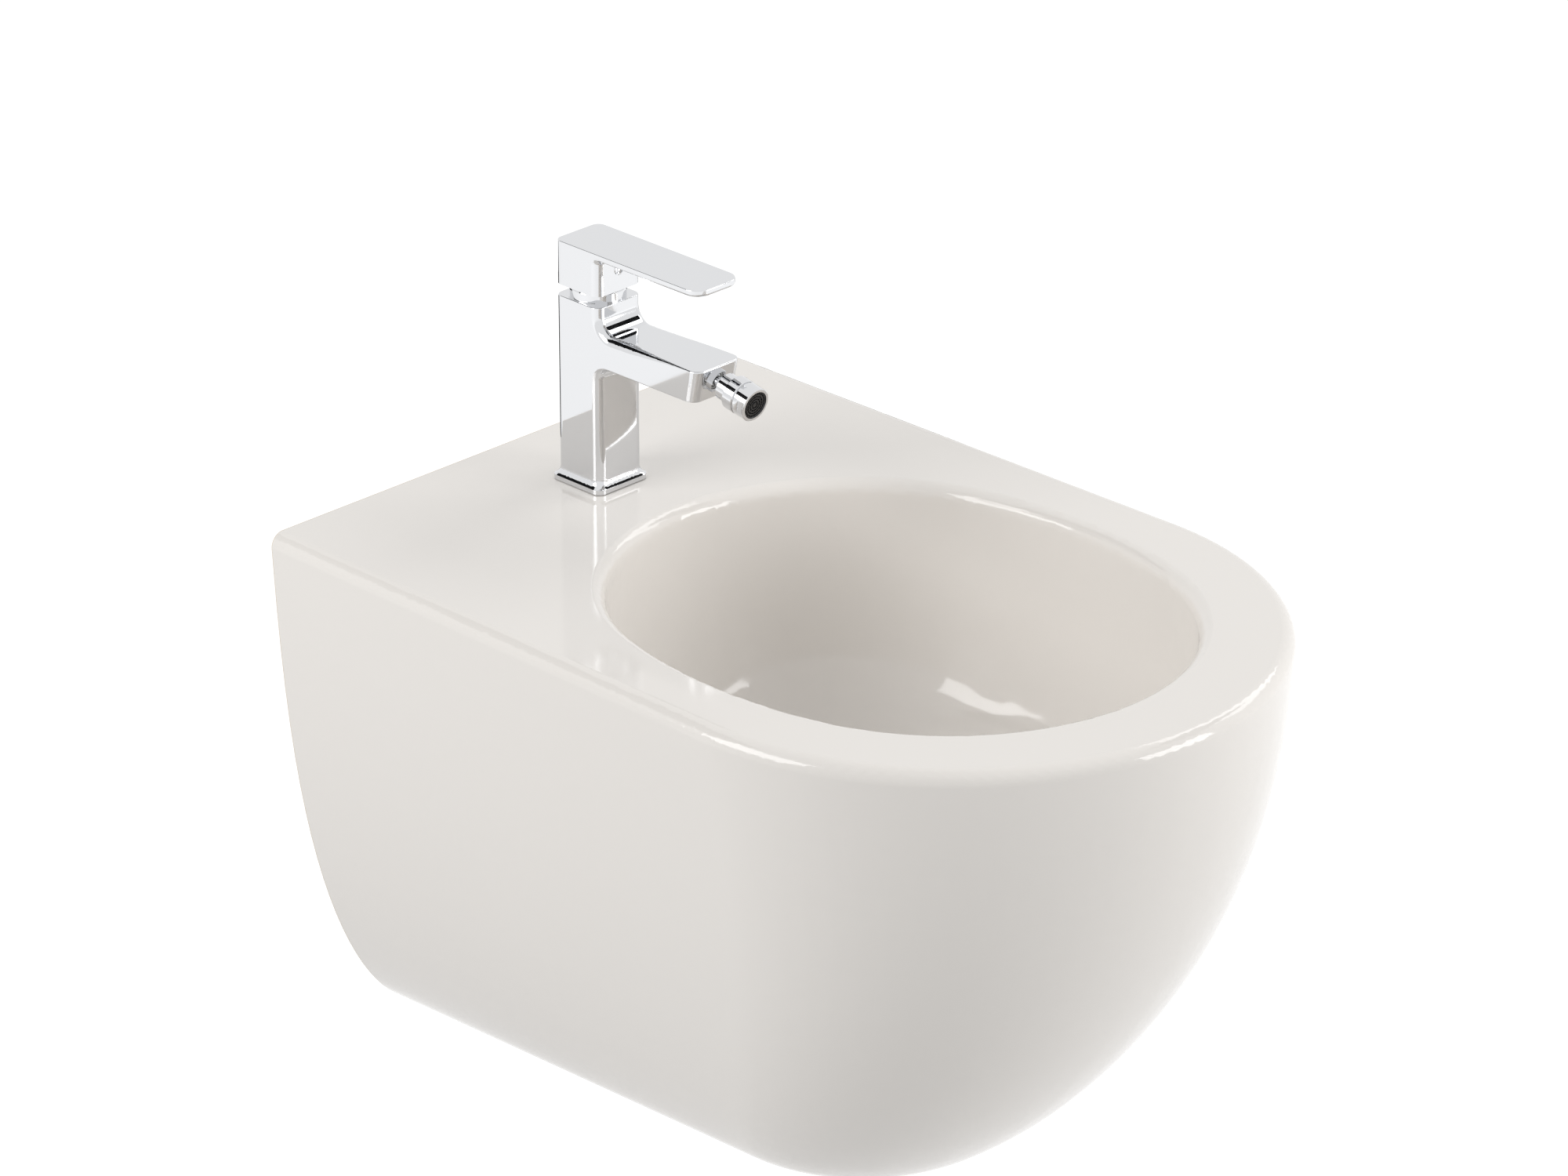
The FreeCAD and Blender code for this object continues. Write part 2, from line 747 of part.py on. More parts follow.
def armed_casting(name, corners, bends, arm_end, tip_round, arm_edge):
    """A column-wide casting with an arm, from one side profile, with every outer edge rounded."""
    cast = body(f"{name}_casting")
    profile = sketch_on(cast, "YZ_Plane")
    outline(profile, corners, bends)
    form = pad(cast, profile, "column_width", symmetric=True)
    end, side = number(arm_end) + NEAR, number(HALF) - NEAR
    fillet(cast, form, tip_round, lambda spot: spot.y < end and abs(spot.x) > side)
    faded = fade_edges(f"{name}_faded", cast, "column_round", arm_edge)
    top = max(vertex.Z for vertex in cast.Shape.Vertexes) - NEAR
    return rounded(f"{name}_rounded", faded, "edge_round / 2", lambda spot: spot.z > top)


def tap_form():
    """Column and spout, with corners that fade out into the spout's edges."""
    start, bend = "(plinth_height + flare_height)", ("throat_round", -1)
    corners = [
        (HALF, start), (HALF, "column_height"), (f"-{HALF}", "column_height"),
        (f"-{HALF}", f"{SPOUT_TOP} + throat_round"), (f"-{HALF} - throat_round", SPOUT_TOP),
        (f"-{SPOUT_REACH}", SPOUT_TOP), (f"{UNDERCUT} - {SPOUT_REACH}", "spout_rise"),
        (f"-{HALF} - throat_round", "spout_rise"), (f"-{HALF}", "spout_rise - throat_round"),
        (f"-{HALF}", start),
    ]
    end = f"{UNDERCUT} - {SPOUT_REACH}"
    return armed_casting("tap", corners, {3: bend, 7: bend}, end, "spout_tip_round", "edge_round")


def tap_foot():
    """A square plinth that sweeps up into the column."""
    foot = body("tap_foot")
    plinth = sketch_on(foot, "XY_Plane", "gasket_proud")
    rounded_square(plinth, "(plinth_width / 2)", "(plinth_width / 2)", "column_round")
    pad(foot, plinth, "plinth_height - gasket_proud")
    sections = []
    for rise, spread in FLARE:
        half = f"({HALF} + (plinth_width - column_width) / 2 * {spread})"
        section = sketch_on(foot, "XY_Plane", f"plinth_height + flare_height * {rise}")
        rounded_square(section, half, half, "column_round")
        sections.append(section)
    loft(foot, sections)
    return foot


def tap_hollow():
    """All that is open inside the tap: chamber, inlets, stud hole, hose well and waterway."""
    hollow = body("tap_hollow")
    hollow.AllowCompound = True
    nut, chamber = "(nut_width / 2 + thread_gap)", "(cartridge_width / 2 + slip)"
    above, well = "column_height + overlap", "(hose_well_depth + inlet_depth)"
    turn(hollow, [
        ("0", SEAT), (chamber, SEAT), (chamber, STEP), (nut, STEP), (nut, above), ("0", above),
    ])
    for x, y in INLETS:
        post(hollow, "inlet_hole", "hose_well_depth - overlap", "inlet_depth + overlap", x, y)
        post(hollow, "port", f"{well} - overlap", f"{SEAT} - {well} + 2 * overlap", x, y)
    post(hollow, "stud_width", "hose_well_depth - overlap", "stud_depth + overlap", "0", "-stud_forward")
    post(hollow, "hose_well", "-overlap", "hose_well_depth + overlap")
    post(hollow, "gasket_width + 2 * slip", "-overlap", "gasket_thickness + overlap")
    waterway = sketch_on(hollow, "XZ_Plane")
    circle(waterway, "waterway", "0", SPOUT_MIDDLE)
    pad(hollow, waterway, f"{SPOUT_REACH} - nipple_thread_length")
    thread = body("nipple_hole", ("0", SPOUT_FACE, SPOUT_MIDDLE), DROOP)
    past = "3 * overlap"
    post(thread, "nipple_thread", f"-nipple_thread_length - {past}", f"nipple_thread_length + 2 * {past}")
    return combine("Fuse", "tap_voids", hollow, thread)


def make_tap_body():
    solid = combine("Fuse", "tap_solid", tap_form(), tap_foot())
    tap = combine("Cut", "tap_body", solid, tap_hollow())
    place(tap, TAP)
    part(tap, "tap_body")


def make_horseshoe(label, low, thickness):
    """A washer that slides in round the hoses from the wall side and hangs on the stud."""
    washer = body(label, TAP)
    sketch = sketch_on(washer, "XY_Plane", low)
    reach, half = "horseshoe_width / 2", "horseshoe_slot / 2"
    mouth = f"sqrt(({reach}) ^ 2 - ({half}) ^ 2)"
    web = "(horseshoe_web + stud_width / 2 - stud_forward)"
    outline(sketch, [
        (half, mouth), (half, web), (f"-{half}", web), (f"-{half}", mouth),
        (f"-{reach}", "0"), ("0", f"-{reach}"), (reach, "0"),
    ], {index: (reach, 1) for index in (3, 4, 5, 6)})
    circle(sketch, "stud_width + 2 * slip", "0", "-stud_forward")
    pad(washer, sketch, thickness)
    part(washer, label)


def make_tap_fixing():
    """Gasket under the foot, and the stud, washers and nut that clamp the tap from below the deck."""
    ring("base_gasket", TAP, "hose_well", "gasket_width", "0", "gasket_thickness")
    stud = body("fixing_stud", TAP)
    length = "stud_below_deck + hose_well_depth + stud_depth - slip"
    post(stud, "stud_width - 2 * running", "-stud_below_deck", length, "0", "-stud_forward")
    part(stud, "fixing_stud")
    gasket = "(-deck_thickness - horseshoe_gasket_thickness)"
    plate = f"({gasket} - horseshoe_plate_thickness)"
    make_horseshoe("horseshoe_gasket", gasket, "horseshoe_gasket_thickness")
    make_horseshoe("horseshoe_plate", plate, "horseshoe_plate_thickness")
    nut = ("0", "-tap_from_wall - stud_forward", f"{RIM} + {plate} - stud_nut_height")
    hex_nut("stud_nut", nut, "stud_nut_flats", "stud_width", "stud_nut_height")


def make_cartridge_shell():
    """The still half of the cartridge: base with its seals, housing, and the nut that holds them."""
    base = body("cartridge_base", TAP)
    post(base, "cartridge_width", BASE, "base_height")
    for x, y in INLETS + [OUTLET]:
        bore(base, "XY_Plane", "port", BASE, "base_height", x, y, reverse=True)
    for x, y in INLETS:
        bore(base, "XY_Plane", "seal_width", BASE, "seal_thickness - seal_proud", x, y, reverse=True)
    half, middle, outside = "port / 2", OUTLET[1], "-cartridge_width"
    notch = sketch_on(base, "XY_Plane", BASE)
    outline(notch, [(half, middle), (f"-{half}", middle), (f"-{half}", outside), (half, outside)])
    pad(base, notch, "base_height / 2", cut=True, reverse=True)
    part(base, "cartridge_base")

    near, far = "port / 2", "seal_width / 2 - running"
    seal = body("seal", ("inlet_spacing / 2", "inlet_set_back - tap_from_wall", f"{RIM} + {SEAT}"))
    turn(seal, [(near, "0"), (far, "0"), (far, "seal_thickness"), (near, "seal_thickness")])
    mirrored_pair("cartridge_seals", seal)

    outside, inside = "cartridge_width / 2", "(cartridge_width / 2 - cartridge_shell)"
    flange, neck = "cartridge_flange / 2", "(carrier_neck / 2 + 2 * running)"
    turned("cartridge_housing", TAP, [
        (inside, FIXED), (outside, FIXED), (outside, STEP), (flange, STEP), (flange, CARTRIDGE_TOP),
        (neck, CARTRIDGE_TOP), (neck, LIP), (inside, LIP),
    ])
    ring("cartridge_nut", TAP, "nut_bore", "nut_width", CARTRIDGE_TOP, f"{CARTRIDGE_TOP} + nut_height")


def make_discs():
    """The fixed disc with its three ports, and the disc that slides on it under its driver."""
    fixed = body("fixed_disc", TAP)
    post(fixed, "fixed_disc_width", FIXED, "disc_thickness")
    for x, y in INLETS + [OUTLET]:
        bore(fixed, "XY_Plane", "disc_port", FIXED, "disc_thickness", x, y, reverse=True)
    part(fixed, "fixed_disc")
    moving = body("moving_disc", TAP)
    post(moving, "moving_disc_width", MOVING, "disc_thickness", "0", "disc_set_back")
    bore(moving, "XY_Plane", "2 * port", MOVING, "disc_thickness / 2", "0", "disc_set_back", reverse=True)
    part(moving, "moving_disc")
    driver = body("disc_driver", TAP)
    post(driver, "moving_disc_width", DRIVER, "driver_thickness", "0", "disc_set_back")
    socket = sketch_on(driver, "XY_Plane", DRIVER)
    fit = "(stem_tip / 2 + slip)"
    rounded_square(socket, fit, fit, "corner_ease")
    pad(driver, socket, "driver_thickness", cut=True, reverse=True)
    part(driver, "disc_driver")


def make_carrier():
    """The carrier that turns with the lever, and the pin that the lever's stem tips on."""
    carrier = body("turn_carrier", TAP)
    flange, neck, half = "carrier_flange / 2", "carrier_neck / 2", "carrier_slot / 2"
    shelf = f"({LIP} - slip)"
    top = f"({shelf} + carrier_neck_height)"
    above = f"{top} + overlap"
    turn(carrier, [
        ("0", CARRIER), (flange, CARRIER), (flange, shelf), (neck, shelf), (neck, top), ("0", top),
    ])
    slot = sketch_on(carrier, "XZ_Plane")
    outline(slot, [(half, shelf), (half, above), (f"-{half}", above), (f"-{half}", shelf)])
    pad(carrier, slot, "2 * carrier_flange", cut=True, symmetric=True)
    way = sketch_on(carrier, "XY_Plane", CARRIER)
    rounded_square(way, f"({half})", "(carrier_slot_length / 2)", "corner_ease")
    pad(carrier, way, "carrier_flange_thickness + overlap", cut=True, reverse=True)
    bore(carrier, "YZ_Plane", "pivot_pin", "0", "2 * carrier_neck", "0", PIVOT, symmetric=True)
    part(carrier, "turn_carrier")

    pin = body("pivot_pin", TAP)
    sketch = sketch_on(pin, "YZ_Plane")
    circle(sketch, "pivot_pin", "0", PIVOT)
    pad(pin, sketch, "carrier_neck - 2 * pin_set_in", symmetric=True)
    part(pin, "pivot_pin")


def make_stem():
    """A square shank that tips on the pin and ends in the ball that slides the disc."""
    stem = body("lever_stem", TAP)
    ball, stalk, shank = "stem_tip / 2", "stem_neck / 2", "(stem_width / 2)"
    waist = f"{TIP} + sqrt(({ball}) ^ 2 - ({stalk}) ^ 2)"
    knee = f"({PIVOT} - stem_width / 2)"
    turn(stem, [("0", f"{TIP} - {ball}"), (ball, TIP), (stalk, waist), (stalk, knee), ("0", knee)],
         {0: (ball, 1), 1: (ball, 1)})
    square = sketch_on(stem, "XY_Plane", f"{knee} - overlap")
    rounded_square(square, shank, shank, "corner_ease")
    pad(stem, square, f"{PIVOT} + stem_above_pivot - {knee} + overlap")
    bore(stem, "YZ_Plane", "pivot_pin + 2 * running", "0", "2 * stem_width", "0", PIVOT, symmetric=True)
    part(stem, "lever_stem")


def make_shroud():
    """The ball-shaped cover that stays still under the lever, with a hole for its stem."""
    wide, hole, spigot = "shroud_width / 2", "shroud_hole / 2", "(nut_width / 2 - slip)"
    outside = "shroud_ball / 2"
    inside, wall = f"({outside} - shroud_shell)", f"({spigot} - shroud_shell)"
    low = "column_height - spigot_depth"
    turned("shroud", TAP, [
        (wall, low), (spigot, low), (spigot, "column_height"), (wide, "column_height"),
        (wide, f"{PIVOT} + {on_sphere(outside, wide)}"),
        (hole, f"{PIVOT} + {on_sphere(outside, hole)}"),
        (hole, f"{PIVOT} + {on_sphere(inside, hole)}"),
        (wall, f"{PIVOT} + {on_sphere(inside, wall)}"),
    ], {4: (outside, 1), 6: (inside, -1)})


def lever_form():
    """A block as wide as the column, with a thin blade that reaches forward from its top."""
    tip, under = f"(lever_length - {HALF})", f"({LEVER_TOP} - blade_thickness)"
    corners = [
        (HALF, BLOCK), (HALF, LEVER_TOP), (f"-{tip}", LEVER_TOP), (f"-{tip}", under),
        (f"-{HALF} - blade_root_round", under), (f"-{HALF}", f"{under} - blade_root_round"),
        (f"-{HALF}", BLOCK),
    ]
    bends = {4: ("blade_root_round", -1)}
    return armed_casting("lever", corners, bends, f"-{tip}", "blade_tip_round", "blade_under_round")


def lever_hollow():
    """Room for the shroud and the stem, and the hole that the grub screw and its cap go in."""
    hollow = body("lever_hollow")
    cavity, fit = "(shroud_ball / 2 + slip + running)", "(stem_width / 2 + running)"
    turn(hollow, [("0", f"{PIVOT} - {cavity}"), (cavity, PIVOT), ("0", f"{PIVOT} + {cavity}")],
         {0: (cavity, 1), 1: (cavity, 1)})
    socket = sketch_on(hollow, "XY_Plane", PIVOT)
    rounded_square(socket, fit, fit, "corner_ease")
    pad(hollow, socket, "stem_above_pivot + slip")
    for width, start, depth in (
        ("grub_width", "0", HALF), ("cap_width", f"{HALF} - cap_depth", "cap_depth + overlap"),
    ):
        hole = sketch_on(hollow, "XZ_Plane", start)
        circle(hole, width, "0", CAP_LEVEL)
        pad(hollow, hole, depth)
    return hollow


def make_lever():
    """The lever, the grub screw that clamps it on the stem, and the dished cap over the screw."""
    lever = combine("Cut", "lever_handle", lever_form(), lever_hollow())
    place(lever, TAP)
    part(lever, "lever_handle")

    grub = body("grub_screw", ("0", "-tap_from_wall - stem_width / 2", f"{RIM} + {CAP_LEVEL}"), "90")
    post(grub, "grub_width - 2 * running", "0", "grub_length")
    socket = sketch_on(grub, "XY_Plane", "grub_length - grub_socket_depth")
    hexagon(socket, "grub_socket")
    pad(grub, socket, "grub_socket_depth", cut=True, reverse=True)
    part(grub, "grub_screw")

    spot = ("0", f"-tap_from_wall - {HALF} + cap_depth", f"{RIM} + {CAP_LEVEL}")
    face, crest = "(cap_width / 2 - running)", "cap_depth + cap_proud"
    lip = f"({face} - cap_rim)"
    turned("index_cap", spot, [
        ("0", "0"), (face, "0"), (face, "cap_depth"), (f"{face} - cap_rim / 3", crest),
        (f"{lip} + cap_rim / 3", crest), (lip, "cap_depth"), ("0", "cap_depth - cap_dish"),
    ], {5: (f"({lip} ^ 2 / (2 * cap_dish) + cap_dish / 2)", -1)}, "90")


# Nozzle: every piece is drawn about its own axis, outwards from the face of the spout

NOZZLE = ("0", f"{SPOUT_FACE} - tap_from_wall", f"{RIM} + {SPOUT_MIDDLE}")
SEAT_IN = "(ball / 2 + slip)"
SEAT_OUT = f"({SEAT_IN} + seat_shell)"
SOCKET = f"({SEAT_OUT} + slip)"
COLLAR = "(ball_from_face - collar_length / 2)"
NOSE = f"({COLLAR} + collar_length)"
SPIGOT_END = f"({NOSE} + collar_spigot_length)"
NOZZLE_END = f"({NOSE} + nozzle_length)"
GROOVE_END = f"({NOZZLE_END} + groove_length)"
MOUTH = f"({GROOVE_END} + aerator_length)"
INSERT_FACE = f"({MOUTH} - insert_recess)"
INSERT_SEAT = f"({INSERT_FACE} - insert_length)"


def make_ball_joint():
    """The ball nipple that screws into the spout, and the seat and ring that grip its ball."""
    hole, neck, ball = "ball_bore / 2", "nipple_neck / 2", "ball / 2"
    flange, thread = "nipple_flange / 2", "nipple_thread / 2 - running"
    turned("ball_nipple", NOZZLE, [
        (hole, "-nipple_thread_length"), (thread, "-nipple_thread_length"), (thread, "0"),
        (flange, "0"), (flange, "nipple_flange_thickness"), (neck, "nipple_flange_thickness"),
        (neck, f"ball_from_face - {on_sphere(ball, neck)}"), (ball, "ball_from_face"),
        (hole, f"ball_from_face + {on_sphere(ball, hole)}"),
    ], {6: (ball, 1), 7: (ball, 1)}, DROOP)
    for label, near, far in (
        ("ball_seat", "seat_gap", "seat_reach"), ("retaining_ring", "-ring_reach", "-seat_gap"),
    ):
        turned(label, NOZZLE, [
            (on_sphere(SEAT_IN, near), f"ball_from_face + {near}"),
            (on_sphere(SEAT_OUT, near), f"ball_from_face + {near}"),
            (on_sphere(SEAT_OUT, far), f"ball_from_face + {far}"),
            (on_sphere(SEAT_IN, far), f"ball_from_face + {far}"),
        ], {1: (SEAT_OUT, 1), 3: (SEAT_IN, -1)}, DROOP)


def make_nozzle():
    """The collar that closes round the seats, and the housing pushed on to its spigot."""
    outer, spigot, water = "collar_width / 2", "collar_spigot / 2", "nozzle_bore / 2"
    turned("socket_collar", NOZZLE, [
        (on_sphere(SOCKET, "collar_length / 2"), COLLAR), (f"{outer} - edge_break", COLLAR),
        (outer, f"{COLLAR} + edge_break"), (outer, NOSE), (spigot, NOSE), (spigot, SPIGOT_END),
        (water, SPIGOT_END), (water, f"ball_from_face + {on_sphere(SOCKET, water)}"),
        (SOCKET, "ball_from_face"),
    ], {7: (SOCKET, -1), 8: (SOCKET, -1)}, DROOP)
    wide, cup, groove = "nozzle_width / 2", "collar_spigot / 2 + running", "groove_width / 2"
    turned("nozzle_housing", NOZZLE, [
        (cup, NOSE), (f"{wide} - edge_break", NOSE), (wide, f"{NOSE} + edge_break"),
        (wide, f"{NOZZLE_END} - edge_break"), (f"{wide} - edge_break", NOZZLE_END),
        (groove, NOZZLE_END), (groove, GROOVE_END), (water, GROOVE_END), (water, SPIGOT_END),
        (cup, SPIGOT_END),
    ], None, DROOP)


def make_aerator():
    """The aerator's housing with two spanner flats, its washer, and its insert of fine rings."""
    housing = body("aerator_housing", NOZZLE, DROOP)
    rim, socket = "aerator_width / 2", "insert_width / 2 + running"
    throat = "insert_width / 2 - insert_shoulder"
    turn(housing, [
        (throat, GROOVE_END), (f"{rim} - edge_break", GROOVE_END), (rim, f"{GROOVE_END} + edge_break"),
        (rim, f"{MOUTH} - edge_break"), (f"{rim} - edge_break", MOUTH), (socket, MOUTH),
        (socket, INSERT_SEAT), (throat, INSERT_SEAT),
    ])
    back, front = "-aerator_width", "aerator_width"
    for side in ("", "-"):
        flat = sketch_on(housing, "XY_Plane", f"{MOUTH} - aerator_flat_length - aerator_flat_set_back")
        near, far = f"{side}aerator_flats / 2", f"{side}aerator_width"
        outline(flat, [(near, back), (far, back), (far, front), (near, front)])
        pad(housing, flat, "aerator_flat_length", cut=True, reverse=True)
    part(housing, "aerator_housing")
    washer = "insert_width - 2 * insert_shoulder - 2 * running"
    ring("aerator_washer", NOZZLE, "nozzle_bore", washer, GROOVE_END, INSERT_SEAT, DROOP)

    radius, level, other = "insert_width / 2", INSERT_FACE, f"({INSERT_FACE} - insert_rib_depth)"
    corners = [("0", INSERT_SEAT), (radius, INSERT_SEAT)]
    while number(radius) > 2 * number("insert_rib"):
        corners.append((radius, level))
        radius = f"{radius} - insert_rib"
        corners.append((radius, level))
        level, other = other, level
    turned("aerator_insert", NOZZLE, corners + [(radius, level), ("0", level)], None, DROOP)


# Waste: every piece is drawn about the drain's axis, upwards from the basin floor

WASTE = ("0", "-drain_from_wall", DRAIN_LEVEL)
DISH_FLOOR = "(flange_proud - dish_depth)"
FLANGE_UNDER = "(waste_seal_thickness - recess_depth)"
CLICK_END = "(-click_top - click_length)"
SPRING_SEAT = f"({CLICK_END} + click_end)"
PLUG = f"({DISH_FLOOR} + running + plug_seal_thickness)"
PLUNGER_END = f"({PLUG} - plunger_length)"


def make_waste_body():
    """Flanged tail with a dish for the plug, and a bridge across it that holds the click housing."""
    flange, dish, tail, throat = "flange_width / 2", "dish_width / 2", "tail_width / 2", "tail_bore / 2"
    free, relief = "(tail_free - tail_length)", "tail_relief_width / 2"
    waste = body("waste_body", WASTE)
    turn(waste, [
        (throat, "-tail_length"), (tail, "-tail_length"), (tail, free), (relief, free),
        (relief, f"{free} + tail_relief"), (tail, f"{free} + tail_relief"), (tail, FLANGE_UNDER),
        (flange, FLANGE_UNDER), (flange, "flange_proud - flange_edge"),
        (f"{flange} - flange_edge", "flange_proud"), (dish, "flange_proud"),
        (f"{dish} - dish_slope", DISH_FLOOR), (throat, DISH_FLOOR),
    ])
    end, half = "(tail_bore / 2 + overlap)", "bridge_width / 2"
    bridge = sketch_on(waste, "XY_Plane", "-bridge_level")
    outline(bridge, [(end, f"-{half}"), (end, half), (f"-{end}", half), (f"-{end}", f"-{half}")])
    pad(waste, bridge, "bridge_height")
    post(waste, "hub_width", "-bridge_level", "bridge_height")
    hole = "click_width + 2 * running"
    bore(waste, "XY_Plane", hole, "-bridge_level", "2 * bridge_height", symmetric=True)
    part(waste, "waste_body")


def make_waste_clamp():
    """Seal under the flange, and the gasket, washer and nut that pull it down from below."""
    hole = "tail_width + 2 * slip"
    gasket = "(-boss_depth - gasket_ring_thickness)"
    washer = f"({gasket} - washer_thickness)"
    ring("waste_seal", WASTE, hole, "flange_width - 2 * ring_set_in", "-recess_depth", FLANGE_UNDER)
    ring("waste_gasket", WASTE, hole, "gasket_ring", gasket, "-boss_depth")
    ring("waste_washer", WASTE, hole, "gasket_ring - 2 * ring_set_in", washer, gasket)
    nut = ("0", "-drain_from_wall", f"{DRAIN_LEVEL} + {washer} - backnut_height")
    hex_nut("waste_backnut", nut, "backnut_flats", "tail_width + 2 * running", "backnut_height")


def make_plug():
    """The plug, down on its seal, with the sprung plunger that clicks in its housing."""
    shell, inner, plug = "click_width / 2", "click_bore / 2", "plug_width / 2"
    edge = f"({PLUG} + plug_edge)"
    turned("click_housing", WASTE, [
        ("0", CLICK_END), (shell, CLICK_END), (shell, "-click_top"), (inner, "-click_top"),
        (inner, SPRING_SEAT), ("0", SPRING_SEAT),
    ])
    ring("click_plunger", WASTE, "plunger_bore", "plunger_width", PLUNGER_END, PLUG)
    dome = "((plug_width / 2) ^ 2 / (2 * plug_crown) + plug_crown / 2)"
    turned("waste_plug", WASTE, [("0", PLUG), (plug, PLUG), (plug, edge), ("0", f"{edge} + plug_crown")],
           {2: (dome, 1)})
    ring("plug_seal", WASTE, "plunger_width + 2 * running", "plug_seal_width",
         f"{DISH_FLOOR} + running", PLUG)

    spring = body("click_spring", WASTE)
    coil = sketch_on(spring, "XZ_Plane")
    circle(coil, "spring_wire", "spring_width / 2 - spring_wire / 2", f"{SPRING_SEAT} + spring_wire / 2")
    helix = spring.newObject("PartDesign::AdditiveHelix", "helix")
    helix.Profile = coil
    helix.ReferenceAxis = (coil, ["V_Axis"])
    helix.Mode = "height-turns-angle"
    height = f"{PLUNGER_END} - {SPRING_SEAT} - spring_wire"
    for name, text in (("Height", height), ("Turns", "spring_turns")):
        setattr(helix, name, number(text))
        bind(helix, name, text)
    part(spring, "click_spring")


make_bowl()
make_bushes()
make_tap_body()
make_tap_fixing()
make_cartridge_shell()
make_discs()
make_carrier()
make_stem()
make_shroud()
make_lever()
make_ball_joint()
make_nozzle()
make_aerator()
make_waste_body()
make_waste_clamp()
make_plug()
doc.recompute()

faults = [item.Name for item in doc.Objects if {"Invalid", "Error"} & set(item.State)]
faults += [item.Label for item in PARTS if item.Shape.isNull() or not item.Shape.isValid()]
if faults:
    raise RuntimeError(f"not built: {faults}")

os.makedirs("parts", exist_ok=True)
for item in PARTS:
    item.Shape.exportStep(f"parts/{item.Label}.step")
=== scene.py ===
import bmesh
import bpy
import json
import math
from mathutils import Matrix, Vector


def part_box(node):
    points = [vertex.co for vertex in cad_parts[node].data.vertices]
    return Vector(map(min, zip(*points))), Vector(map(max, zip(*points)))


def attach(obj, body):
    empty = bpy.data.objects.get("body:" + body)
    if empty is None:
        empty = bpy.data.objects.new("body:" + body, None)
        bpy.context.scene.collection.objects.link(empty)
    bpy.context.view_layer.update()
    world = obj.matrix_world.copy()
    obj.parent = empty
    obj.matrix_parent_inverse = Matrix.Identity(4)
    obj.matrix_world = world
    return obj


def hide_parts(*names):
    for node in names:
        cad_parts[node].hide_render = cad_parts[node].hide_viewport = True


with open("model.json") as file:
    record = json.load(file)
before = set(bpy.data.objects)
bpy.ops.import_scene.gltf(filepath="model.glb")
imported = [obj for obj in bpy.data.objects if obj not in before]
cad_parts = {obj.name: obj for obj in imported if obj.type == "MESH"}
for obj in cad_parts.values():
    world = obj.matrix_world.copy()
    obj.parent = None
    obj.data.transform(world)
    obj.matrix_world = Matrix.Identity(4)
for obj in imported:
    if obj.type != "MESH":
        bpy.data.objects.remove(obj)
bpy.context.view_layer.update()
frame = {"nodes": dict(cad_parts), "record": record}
nodes = frame["nodes"]
MM = 0.001

# Where each piece belongs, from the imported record
BODY_OF = {
    node: body for body, members in frame["record"]["behaviour"]["bodies"].items() for node in members
}
SLOT_OF = {row["node"]: row["material_slot"] for row in frame["record"]["subparts"]}

# The photograph's viewpoint, solved from the bowl's outline
VIEW_AZIMUTH = math.radians(45.15)
VIEW_ELEVATION = math.radians(24.74)
VIEW_DISTANCE = 3904 * MM
VIEW_CENTRE = Vector((0, -250 * MM, 85 * MM))
VIEW_SLIDE = (-28.5 * MM, -6.5 * MM)
LENS = 171
SENSOR = 36
FAR_END = 50

# Studio floor and sky
RIM_ABOVE_FLOOR = 400 * MM
RIM_LEVEL = 85 * MM
FLOOR_SIZE = 12
FLOOR_BOUNCE = (0.6, 0.6, 0.6, 1)  # what the floor throws on to the part
FLOOR_SHADE = (0.4, 0.4, 0.4, 1)  # what takes the shadow where the floor is seen
FLOOR_GLOW = 0.776  # lifts the floor that is seen to white
SKY_LIGHT = 0.56

# Soft boxes: place, width and height in metres, and power in watts
LIT_POINT = Vector((0, -250 * MM, 0))
SOFT_BOXES = {
    "front box": ((1.22, -2.45, 0.67), 1.2, 1.2, 24),
    "rear left box": ((-2.13, 0.61, 1.22), 1.5, 1.3, 29),
    "right box": ((1.75, -0.5, 1.6), 1.4, 1.2, 13),
}

# Black flags: centre, aim, width and height in millimetres
FLAG_BLACK = (0.015, 0.015, 0.016, 1)
FLAGS = {
    "low rear flag": ((200, 250, -40), (0, -70, 100), 640, 170),
    "high rear flag": ((-750, 1000, 1300), (0, -70, 150), 1300, 800),
    "high front flag": ((1100, -800, 1300), (0, -70, 150), 900, 500),
}

# Meshes
WELD = 0.002 * MM
NEAR = 0.02 * MM
FLAT = math.radians(0.05)  # faces that differ by less are one flat
CREASE = math.radians(28)

# Finishes
GLAZE = "#e9e5e0"
GLAZE_ROUGHNESS = 0.09
GLAZE_EDGE = 0.5 * MM  # the glaze stops this far from the wall
BISCUIT = "#e0d6c8"
BISCUIT_ROUGHNESS = 0.8
NOISE_LOW, NOISE_HIGH = 0.3, 0.7  # a noise seldom leaves this range
WAVE_UNIT = 0.314  # a wave texture of scale 1 repeats over this length

# Threads: M8 on the tap's stud and a coarse pipe thread on the waste's free tail
STUD_PITCH = 1.25 * MM
STUD_STEPS = 20
TAIL_FREE = 33 * MM
TAIL_CREST = 20.95 * MM
TAIL_PITCH = 2.309 * MM
TAIL_STEPS = 72

# Aerator insert: rings and grooves of equal width, measured from the centre of the nozzle's ball
AERATOR_FACE = 19 * MM
AERATOR_RADIUS = 7.8 * MM
AERATOR_RIB = 0.8 * MM
AERATOR_GROOVES = 4
AERATOR_BARS = 6  # in the innermost groove, and as many more in each one outside it
AERATOR_BAR = (0.9 * MM, 0.5 * MM, 0.5 * MM)


def linear(hex_colour):
    """Linear RGBA from an sRGB hex value."""
    levels = [int(hex_colour[start:start + 2], 16) / 255 for start in (1, 3, 5)]
    return (*[x / 12.92 if x <= 0.04045 else ((x + 0.055) / 1.055) ** 2.4 for x in levels], 1)


